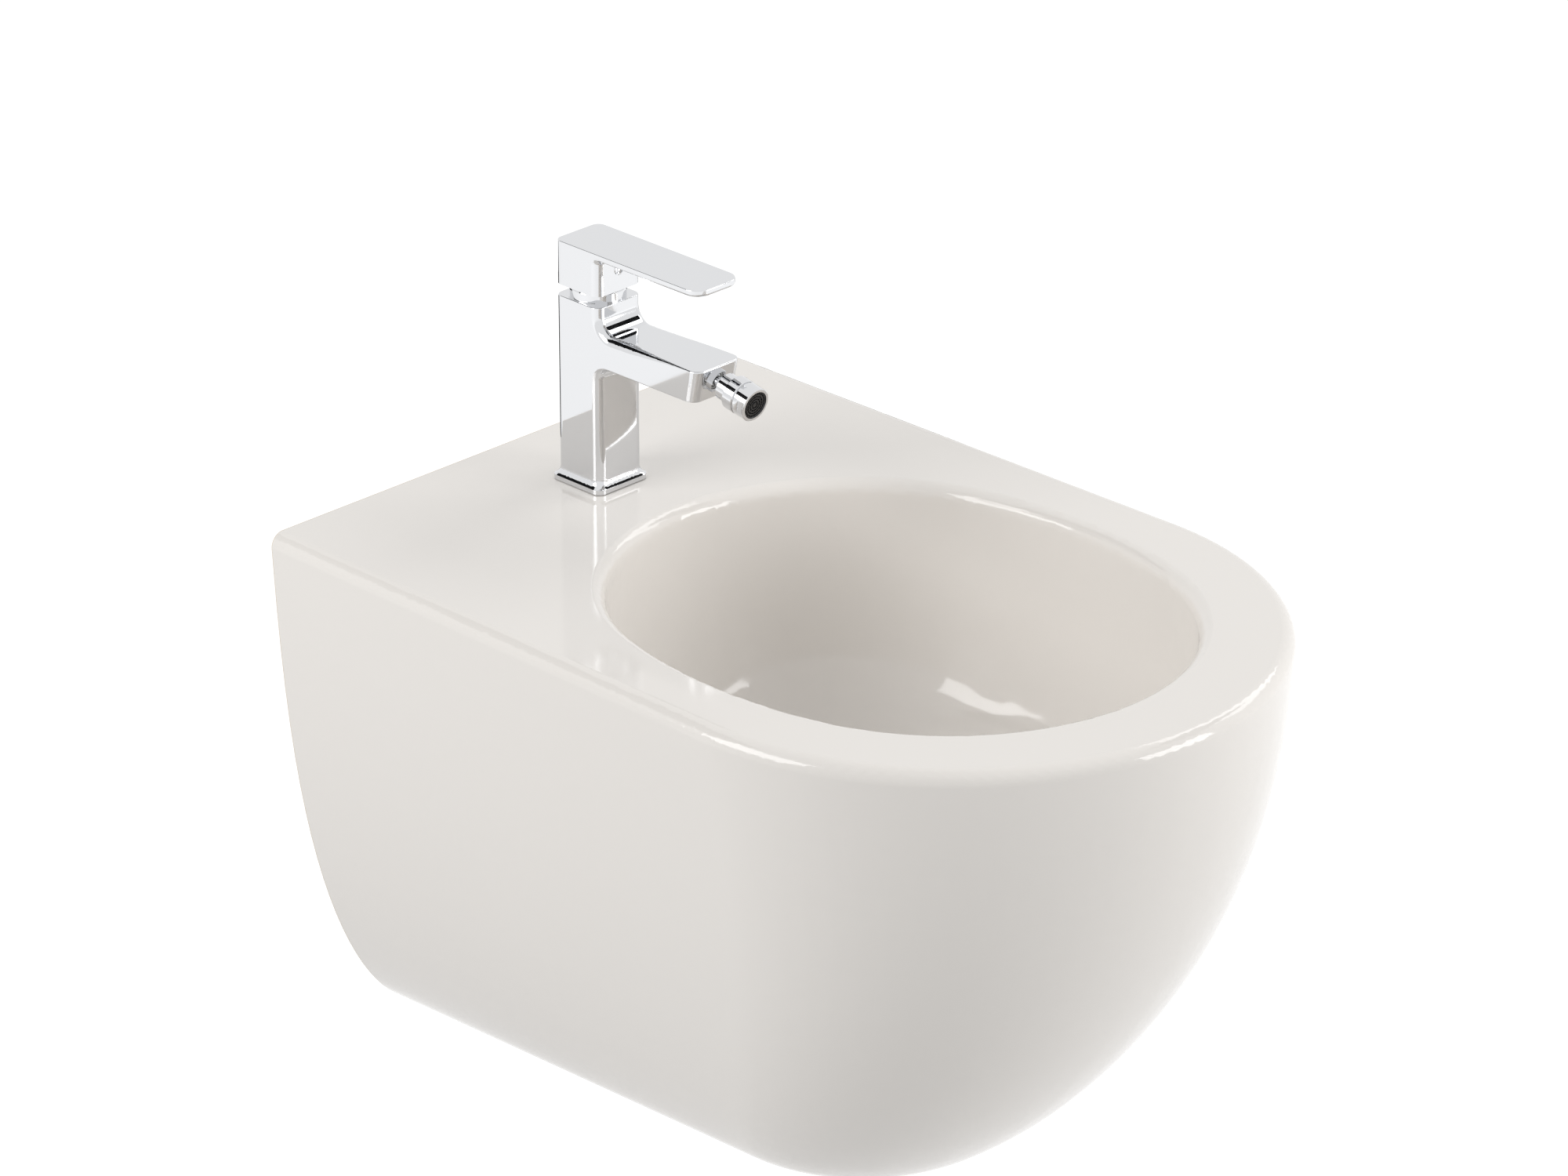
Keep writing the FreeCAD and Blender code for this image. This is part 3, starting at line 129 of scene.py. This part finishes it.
def add_node(tree, kind, inputs=None, **settings):
    """A node with its settings; an input is a plain value or another node's output socket."""
    node = tree.nodes.new(kind)
    for name, value in settings.items():
        setattr(node, name, value)
    for name, value in (inputs or {}).items():
        if isinstance(value, bpy.types.NodeSocket):
            tree.links.new(value, node.inputs[name])
        else:
            node.inputs[name].default_value = value
    return node


def principled(name, colour, roughness, metallic=0.0, **sockets):
    """A Principled material; returns it with its tree and shader."""
    material = bpy.data.materials.new(name)
    material.use_nodes = True
    tree = material.node_tree
    shader = tree.nodes["Principled BSDF"]
    values = {"Base Color": linear(colour), "Roughness": roughness, "Metallic": metallic, **sockets}
    for socket, value in values.items():
        shader.inputs[socket].default_value = value
    return material, tree, shader


def cloud(tree, period, detail=2.0, stretch=(1, 1, 1)):
    """Soft noise of a real period in metres, drawn out along the axes where stretch is small."""
    place = add_node(tree, "ShaderNodeTexCoord")
    drawn = add_node(tree, "ShaderNodeMapping", {
        "Vector": place.outputs["Object"], "Scale": stretch,
    })
    noise = add_node(tree, "ShaderNodeTexNoise", {
        "Vector": drawn.outputs["Vector"], "Scale": 1 / period, "Detail": detail,
    })
    return noise.outputs["Fac"]


def wander(tree, shader, socket, low, high, share):
    """Let a socket wander between two values with a noise's share."""
    spread = add_node(tree, "ShaderNodeMapRange", {
        "Value": share, "From Min": NOISE_LOW, "From Max": NOISE_HIGH, "To Min": low, "To Max": high,
    })
    tree.links.new(spread.outputs["Result"], shader.inputs[socket])


def blended(tree, share, first, second):
    """A colour between two hex colours."""
    mix = add_node(tree, "ShaderNodeMix", {
        0: share, 6: linear(first), 7: linear(second),
    }, data_type="RGBA")
    return mix.outputs[2]


def embossed(tree, shader, height, distance):
    """Raise the surface by a height pattern, up to a distance in metres."""
    bump = add_node(tree, "ShaderNodeBump", {
        "Height": height, "Distance": distance, "Strength": 1.0,
    })
    tree.links.new(bump.outputs["Normal"], shader.inputs["Normal"])


def glazed_china():
    """Slip-cast vitreous china: a warm white gloss glaze with slow ripples where it ran before
    firing, wiped off the wall face, which shows dull cream biscuit."""
    material, tree, shader = principled("glazed vitreous china", GLAZE, GLAZE_ROUGHNESS, IOR=1.52)
    embossed(tree, shader, cloud(tree, 60 * MM, 0.0), 0.01 * MM)
    place = add_node(tree, "ShaderNodeTexCoord")
    axes = add_node(tree, "ShaderNodeSeparateXYZ", {0: place.outputs["Object"]})
    bare = add_node(tree, "ShaderNodeMath", {
        0: axes.outputs["Y"], 1: -GLAZE_EDGE,
    }, operation="GREATER_THAN")
    tree.links.new(blended(tree, bare.outputs[0], GLAZE, BISCUIT), shader.inputs["Base Color"])
    wander(tree, shader, "Roughness", GLAZE_ROUGHNESS, BISCUIT_ROUGHNESS, bare.outputs[0])
    return material


def polished_chrome():
    """Polished chromium plate over brass: a mirror with a faint blue-grey cast, and the thin dull
    patches that a dry cloth leaves."""
    material, tree, shader = principled("polished chromium plate", "#dcdddf", 0.04, 1.0)
    wander(tree, shader, "Roughness", 0.03, 0.055, cloud(tree, 16 * MM))
    return material


def turned_brass():
    """Bare turned brass: yellow metal ringed by the tool. The rings are drawn at 0.5 mm so that
    they show."""
    material, tree, shader = principled("turned brass", "#c9a255", 0.28, 1.0)
    place = add_node(tree, "ShaderNodeTexCoord")
    rings = add_node(tree, "ShaderNodeTexWave", {
        "Vector": place.outputs["Object"], "Scale": WAVE_UNIT / (0.5 * MM), "Distortion": 1.5,
    }, bands_direction="Z")
    embossed(tree, shader, rings.outputs["Fac"], 0.008 * MM)
    wander(tree, shader, "Roughness", 0.22, 0.36, cloud(tree, 4 * MM))
    return material


def drawn_steel():
    """Cold-drawn stainless steel: grey metal with long fine streaks along the draw."""
    material, tree, shader = principled("drawn stainless steel", "#b4b5b6", 0.32, 1.0)
    streaks = cloud(tree, 0.4 * MM, stretch=(1, 1, 0.03))
    embossed(tree, shader, streaks, 0.006 * MM)
    wander(tree, shader, "Roughness", 0.24, 0.4, streaks)
    return material


def moulded_rubber():
    """Moulded nitrile rubber: near black and matt, with the mould's fine grain."""
    material, tree, shader = principled("moulded nitrile rubber", "#232324", 0.7)
    embossed(tree, shader, cloud(tree, 0.5 * MM, 3.0), 0.03 * MM)
    wander(tree, shader, "Roughness", 0.6, 0.8, cloud(tree, 3 * MM))
    return material


def white_acetal():
    """Moulded acetal: milky white plastic with a waxy sheen and faint flow marks."""
    material, tree, shader = principled("moulded white acetal", "#e4e4df", 0.38)
    embossed(tree, shader, cloud(tree, 5 * MM), 0.01 * MM)
    wander(tree, shader, "Roughness", 0.32, 0.46, cloud(tree, 2 * MM, 3.0))
    return material


def grey_polyamide():
    """Moulded glass-filled polyamide: mid grey, dull, and flecked where fibres reach the skin."""
    material, tree, shader = principled("moulded grey polyamide", "#9a9c9d", 0.5)
    flecks = cloud(tree, 0.7 * MM, 4.0, stretch=(1, 0.3, 1))
    tree.links.new(blended(tree, flecks, "#8f9192", "#a5a7a8"), shader.inputs["Base Color"])
    embossed(tree, shader, flecks, 0.01 * MM)
    return material


def lapped_alumina():
    """Lapped alumina: creamy ceramic, its face polished flat with a trace of the lap's paths."""
    material, tree, shader = principled("lapped alumina", "#ece6d6", 0.18)
    wander(tree, shader, "Roughness", 0.12, 0.24, cloud(tree, 0.8 * MM, 3.0))
    return material


def black_acetal():
    """Moulded black acetal: deep black plastic with a slight gloss."""
    material, tree, shader = principled("moulded black acetal", "#141415", 0.3)
    wander(tree, shader, "Roughness", 0.24, 0.38, cloud(tree, 0.6 * MM))
    return material


FINISHES = {
    "china": glazed_china(),
    "chrome": polished_chrome(),
    "brass": turned_brass(),
    "steel": drawn_steel(),
    "rubber": moulded_rubber(),
    "white_plastic": white_acetal(),
    "grey_plastic": grey_polyamide(),
    "disc_ceramic": lapped_alumina(),
    "black_plastic": black_acetal(),
}


def new_piece(name, mesh):
    """A mesh as an object of the scene."""
    piece = bpy.data.objects.new(name, mesh)
    bpy.context.scene.collection.objects.link(piece)
    return piece


def plain_mesh(piece):
    """A piece's mesh with its modifiers applied."""
    graph = bpy.context.evaluated_depsgraph_get()
    return bpy.data.meshes.new_from_object(piece.evaluated_get(graph), depsgraph=graph)


def welded(node):
    """A working copy of a CAD node's surface: its loose triangles merged, and each flat made one
    face, so that the flat's own direction outweighs the rounds beside it."""
    work = bmesh.new()
    work.from_mesh(nodes[node].data)
    bmesh.ops.remove_doubles(work, verts=work.verts, dist=WELD)
    bmesh.ops.dissolve_limit(work, angle_limit=FLAT, edges=work.edges)
    return work


def stand_for(node, work):
    """A working mesh, smooth up to its creases and flat on its flats, takes a CAD node's place."""
    mesh = bpy.data.meshes.new(node)
    work.to_mesh(mesh)
    work.free()
    mesh.polygons.foreach_set("use_smooth", [True] * len(mesh.polygons))
    mesh.set_sharp_from_angle(angle=CREASE)
    piece = new_piece(node + "_surface", mesh)
    weigh = piece.modifiers.new("flat faces", "WEIGHTED_NORMAL")
    weigh.keep_sharp = True
    finished = plain_mesh(piece)
    piece.modifiers.clear()
    piece.data = finished
    finished.materials.clear()
    finished.materials.append(FINISHES[SLOT_OF[node]])
    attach(piece, BODY_OF[node])
    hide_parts(node)


def new_tree(name, inputs):
    """An empty Geometry Nodes tree with named inputs; returns it with their sockets."""
    tree = bpy.data.node_groups.new(name, "GeometryNodeTree")
    tree.interface.new_socket("Mesh", in_out="OUTPUT", socket_type="NodeSocketGeometry")
    for label, kind in inputs.items():
        tree.interface.new_socket(label, in_out="INPUT", socket_type="NodeSocket" + kind)
    return tree, add_node(tree, "NodeGroupInput").outputs


def close_tree(tree, geometry, finish):
    """End a tree in real geometry that has its finish."""
    real = add_node(tree, "GeometryNodeRealizeInstances", {"Geometry": geometry})
    dressed = add_node(tree, "GeometryNodeSetMaterial", {
        "Geometry": real.outputs[0], "Material": finish,
    })
    add_node(tree, "NodeGroupOutput", {"Mesh": dressed.outputs[0]})


def grown(tree, **values):
    """The plain mesh that a tree makes from its inputs' values."""
    holder = new_piece(tree.name, bpy.data.meshes.new(tree.name))
    modifier = holder.modifiers.new(tree.name, "NODES")
    modifier.node_group = tree
    for item in tree.interface.items_tree:
        if item.in_out == "INPUT":
            modifier[item.identifier] = values[item.name.lower()]
    mesh = plain_mesh(holder)
    bpy.data.objects.remove(holder)
    return mesh


def screw_thread():
    """A sharp ridge wound up round the Z axis: a square on its corner, swept along a helix."""
    tree, size = new_tree("screw thread", {
        "Root": "Float", "Pitch": "Float", "Turns": "Float", "Steps": "Int",
        "Start": "Vector", "Finish": "Material",
    })
    rise = add_node(tree, "ShaderNodeMath", {
        0: size["Pitch"], 1: size["Turns"],
    }, operation="MULTIPLY")
    half = add_node(tree, "ShaderNodeMath", {0: size["Pitch"], 1: 0.5}, operation="MULTIPLY")
    helix = add_node(tree, "GeometryNodeCurveSpiral", {
        "Resolution": size["Steps"], "Rotations": size["Turns"], "Start Radius": size["Root"],
        "End Radius": size["Root"], "Height": rise.outputs[0],
    })
    upright = add_node(tree, "GeometryNodeSetCurveNormal", {"Curve": helix.outputs[0]}, mode="Z_UP")
    ridge = add_node(tree, "GeometryNodeCurvePrimitiveCircle", {
        "Resolution": 4, "Radius": half.outputs[0],
    })
    swept = add_node(tree, "GeometryNodeCurveToMesh", {
        "Curve": upright.outputs[0], "Profile Curve": ridge.outputs[0], "Fill Caps": True,
    })
    placed = add_node(tree, "GeometryNodeTransform", {
        "Geometry": swept.outputs[0], "Translation": size["Start"],
    })
    close_tree(tree, placed.outputs[0], size["Finish"])
    return tree


def ring_of_bars():
    """Short bars set like spokes in a ring about the Z axis."""
    tree, size = new_tree("ring of bars", {
        "Radius": "Float", "Count": "Int", "Bar": "Vector", "Finish": "Material",
    })
    spots = add_node(tree, "GeometryNodeMeshCircle", {
        "Vertices": size["Count"], "Radius": size["Radius"],
    })
    bar = add_node(tree, "GeometryNodeMeshCube", {"Size": size["Bar"]})
    outward = add_node(tree, "GeometryNodeInputPosition")
    turned = add_node(tree, "FunctionNodeAlignRotationToVector", {
        "Vector": outward.outputs[0],
    }, axis="X", pivot_axis="Z")
    spokes = add_node(tree, "GeometryNodeInstanceOnPoints", {
        "Points": spots.outputs[0], "Instance": bar.outputs[0], "Rotation": turned.outputs[0],
    })
    close_tree(tree, spokes.outputs[0], size["Finish"])
    return tree


def add_mesh(work, mesh, place=Matrix()):
    """Add a plain mesh to a working one."""
    mesh.transform(place)
    work.from_mesh(mesh)
    bpy.data.meshes.remove(mesh)


def upright_axis(low, high):
    """Where the vertical axis of a box stands."""
    return Vector((low[0] + high[0], low[1] + high[1])) / 2


def make_threaded(node, axis, low, high, crest, pitch, steps):
    """Turn a node's shank down to a thread's root and wind the thread back up to the CAD's own
    size."""
    root = crest - pitch / 2
    work = welded(node)
    for spot in work.verts:
        out = spot.co.xy - axis
        if low - NEAR < spot.co.z < high + NEAR and abs(out.length - crest) < NEAR:
            spot.co.xy = axis + out * (root / crest)
    bmesh.ops.remove_doubles(work, verts=work.verts, dist=WELD)
    turns = (high - low) / pitch - 1
    add_mesh(work, grown(THREAD, root=root, pitch=pitch, turns=turns, steps=steps,
                         start=(axis.x, axis.y, low + pitch / 2), finish=FINISHES[SLOT_OF[node]]))
    stand_for(node, work)


def make_aerator_insert():
    """Bars across the insert's grooves break its rings into the small cells that mix air with
    water."""
    joints = {joint["name"]: joint for joint in frame["record"]["behaviour"]["joints"]}
    spin = joints["nozzle_spin"]
    ahead = Vector(spin["axis"])
    face = Vector(spin["pos_m"]) + ahead * AERATOR_FACE
    place = Matrix.Translation(face) @ ahead.to_track_quat("Z", "X").to_matrix().to_4x4()
    work = welded("aerator_insert")
    for groove in range(AERATOR_GROOVES):
        radius = AERATOR_RADIUS - AERATOR_RIB * (2 * groove + 1.5)  # the groove's middle
        count = AERATOR_BARS * (AERATOR_GROOVES - groove)
        cells = grown(BARS, radius=radius, count=count, bar=AERATOR_BAR,
                      finish=FINISHES["black_plastic"])
        add_mesh(work, cells, place @ Matrix.Translation((0, 0, -AERATOR_BAR[2])))
    stand_for("aerator_insert", work)


THREAD = screw_thread()
BARS = ring_of_bars()
stud_low, stud_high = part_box("fixing_stud")
tail_low, tail_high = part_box("waste_body")
make_threaded("fixing_stud", upright_axis(stud_low, stud_high), stud_low[2], stud_high[2],
              (stud_high[0] - stud_low[0]) / 2, STUD_PITCH, STUD_STEPS)
make_threaded("waste_body", upright_axis(tail_low, tail_high), tail_low[2],
              tail_low[2] + TAIL_FREE, TAIL_CREST, TAIL_PITCH, TAIL_STEPS)
make_aerator_insert()
for node in nodes:
    if node not in ("fixing_stud", "waste_body", "aerator_insert"):
        stand_for(node, welded(node))


# Studio: a pale floor, an even sky, soft boxes, black flags and the photograph's camera

def seen_directly(tree):
    """1 for rays that the camera, a mirror or glass sends out, and 0 for the light that falls on
    things."""
    path = add_node(tree, "ShaderNodeLightPath")
    seen = path.outputs["Is Camera Ray"]
    for ray in ("Is Glossy Ray", "Is Transmission Ray"):
        either = add_node(tree, "ShaderNodeMath", {
            0: seen, 1: path.outputs[ray],
        }, operation="MAXIMUM")
        seen = either.outputs[0]
    return seen


def make_floor():
    """A pale floor that looks white and keeps a faint shadow."""
    bpy.ops.mesh.primitive_plane_add(size=FLOOR_SIZE, location=(0, 0, RIM_LEVEL - RIM_ABOVE_FLOOR))
    floor = bpy.context.object
    floor.name = "studio_floor"
    material = bpy.data.materials.new("pale floor")
    material.use_nodes = True
    tree = material.node_tree
    tree.nodes.clear()
    bounce = add_node(tree, "ShaderNodeBsdfDiffuse", {"Color": FLOOR_BOUNCE})
    shade = add_node(tree, "ShaderNodeBsdfDiffuse", {"Color": FLOOR_SHADE})
    glow = add_node(tree, "ShaderNodeEmission", {"Strength": FLOOR_GLOW})
    white = add_node(tree, "ShaderNodeAddShader", {0: shade.outputs[0], 1: glow.outputs[0]})
    mix = add_node(tree, "ShaderNodeMixShader", {
        0: seen_directly(tree), 1: bounce.outputs[0], 2: white.outputs[0],
    })
    add_node(tree, "ShaderNodeOutputMaterial", {"Surface": mix.outputs[0]})
    floor.data.materials.append(material)


def make_sky():
    """An even sky: white to the eye, and softer as a light."""
    world = bpy.data.worlds.new("studio white")
    bpy.context.scene.world = world
    world.use_nodes = True
    tree = world.node_tree
    tree.nodes.clear()
    level = add_node(tree, "ShaderNodeMix", {
        "Factor": seen_directly(tree), "A": SKY_LIGHT, "B": 1.0,
    })
    glow = add_node(tree, "ShaderNodeBackground", {
        "Color": (1, 1, 1, 1), "Strength": level.outputs[0],
    })
    add_node(tree, "ShaderNodeOutputWorld", {"Surface": glow.outputs[0]})


def soft_box(name, place, width, height, power):
    """A rectangular lamp turned to the middle of the bowl."""
    lamp = bpy.data.lights.new(name, "AREA")
    lamp.shape = "RECTANGLE"
    lamp.size, lamp.size_y = width, height
    lamp.energy = power
    holder = bpy.data.objects.new(name, lamp)
    holder.location = place
    holder.rotation_euler = (LIT_POINT - Vector(place)).to_track_quat("-Z", "Y").to_euler()
    bpy.context.scene.collection.objects.link(holder)


def black_flag(name, centre, aim, width, height):
    """A black card seen only in reflections, where it draws the chrome's edges."""
    ahead = (Vector(aim) - Vector(centre)).normalized()
    across = ahead.cross(Vector((0, 0, 1))).normalized()
    up = across.cross(ahead)
    corners = [
        (Vector(centre) + across * (x * width / 2) + up * (z * height / 2)) * MM
        for x, z in ((-1, -1), (1, -1), (1, 1), (-1, 1))
    ]
    mesh = bpy.data.meshes.new(name)
    mesh.from_pydata(corners, [], [(0, 1, 2, 3)])
    card = bpy.data.objects.new(name, mesh)
    bpy.context.scene.collection.objects.link(card)
    material = bpy.data.materials.new("black flag cloth")
    material.use_nodes = True
    tree = material.node_tree
    tree.nodes.clear()
    cloth = add_node(tree, "ShaderNodeBsdfDiffuse", {"Color": FLAG_BLACK})
    add_node(tree, "ShaderNodeOutputMaterial", {"Surface": cloth.outputs[0]})
    mesh.materials.append(material)
    card.visible_camera = card.visible_diffuse = False
    card.visible_shadow = card.visible_transmission = False


def make_camera():
    """The photograph's camera."""
    right = Vector((math.cos(VIEW_AZIMUTH), -math.sin(VIEW_AZIMUTH), 0))
    ahead = Vector((
        math.sin(VIEW_AZIMUTH) * math.cos(VIEW_ELEVATION),
        math.cos(VIEW_AZIMUTH) * math.cos(VIEW_ELEVATION),
        -math.sin(VIEW_ELEVATION),
    ))
    up = right.cross(ahead)
    lens = bpy.data.cameras.new("photograph")
    lens.lens = LENS
    lens.sensor_width = SENSOR
    lens.clip_end = FAR_END
    camera = bpy.data.objects.new("photograph", lens)
    aim = VIEW_CENTRE + right * VIEW_SLIDE[0] + up * VIEW_SLIDE[1]
    turn = Matrix((right, up, -ahead)).transposed().to_4x4()
    camera.matrix_world = Matrix.Translation(aim - ahead * VIEW_DISTANCE) @ turn
    bpy.context.scene.collection.objects.link(camera)
    bpy.context.scene.camera = camera


make_floor()
make_sky()
for name, setting in SOFT_BOXES.items():
    soft_box(name, *setting)
for name, setting in FLAGS.items():
    black_flag(name, *setting)
make_camera()
bpy.context.scene.view_settings.view_transform = "Standard"
